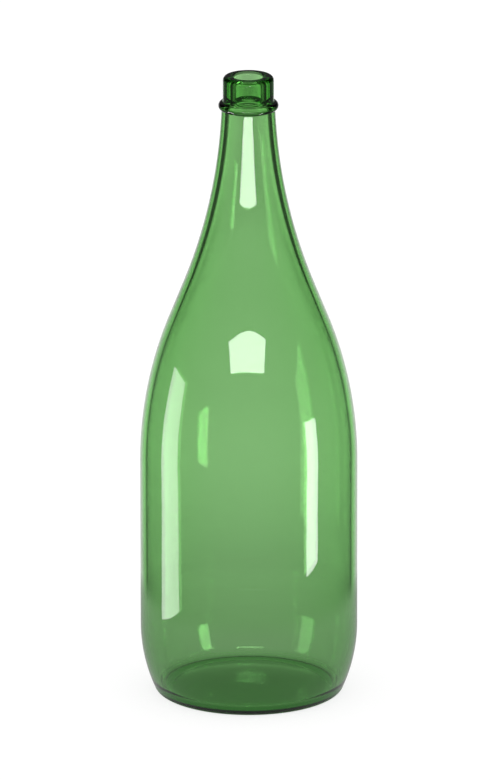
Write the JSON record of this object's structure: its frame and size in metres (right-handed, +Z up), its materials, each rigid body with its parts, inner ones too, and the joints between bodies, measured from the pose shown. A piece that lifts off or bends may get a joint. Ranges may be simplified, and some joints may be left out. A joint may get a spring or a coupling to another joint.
{
  "type": "glass demijohn bottle",
  "caption": "Tall green glass demijohn with a straight side, long tapering neck, ring under the lip, cork bore and flat base; one hollow piece, open at the mouth.",
  "frame": {"origin": "centre of the base, on the plane that the bottle stands on", "axes": "+Z up along the bottle's axis, from the base to the mouth; X and Y are equal, because the bottle is round"},
  "size_m": [0.1436, 0.1436, 0.421],
  "materials": {
    "green_glass": "clear polished moulded glass, mid green"
  },
  "bodies": {
    "root": {"bottle": "green_glass"}
  },
  "joints": []
}
